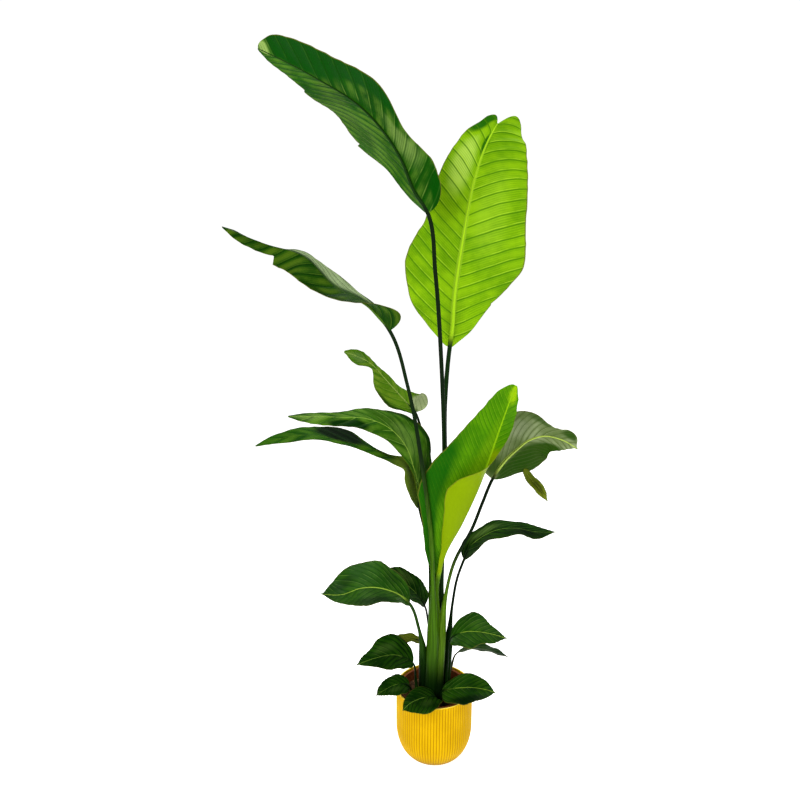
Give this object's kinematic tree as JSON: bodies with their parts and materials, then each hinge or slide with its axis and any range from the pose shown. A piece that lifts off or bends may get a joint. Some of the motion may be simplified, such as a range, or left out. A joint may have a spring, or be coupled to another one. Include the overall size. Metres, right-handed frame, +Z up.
{
  "type": "potted bird of paradise",
  "caption": "Tall potted bird of paradise: broad veined leaves on long stalks fan out from one clump in soil, in a nursery pot inside a ribbed yellow pot with a rounded foot.",
  "frame": {"origin": "middle of the pot's round foot, on the surface it stands on", "axes": "+Z up along the pot's axis, -Y towards the viewer of the picture, +X to the viewer's right"},
  "size_m": [0.8702, 0.3825, 1.9268],
  "materials": {
    "leaf_dark": "waxy dark green leaf",
    "leaf_mid": "waxy mid green leaf",
    "leaf_bright": "bright yellow-green leaf",
    "pot": "satin yellow glaze",
    "liner": "matte terracotta brown plastic",
    "soil": "dark potting soil"
  },
  "bodies": {
    "root": {"leaf_centre_rolled": "leaf_bright", "leaf_left_behind": "leaf_mid", "leaf_left_glossy": "leaf_dark", "leaf_left_low": "leaf_dark", "leaf_left_olive": "leaf_mid", "leaf_middle_left_lower": "leaf_mid", "leaf_middle_left_short": "leaf_mid", "leaf_middle_left_upper": "leaf_mid", "leaf_right_low": "leaf_dark", "leaf_right_middle": "leaf_dark", "leaf_right_narrow": "leaf_dark", "leaf_right_upper": "leaf_dark", "leaf_rim_front": "leaf_dark", "leaf_rim_left": "leaf_dark", "leaf_rim_right": "leaf_mid", "leaf_top_left": "leaf_dark", "leaf_top_right": "leaf_bright", "leaf_upper_left": "leaf_dark", "nursery_pot": "liner", "outer_pot": "pot", "soil": "soil"}
  },
  "joints": []
}
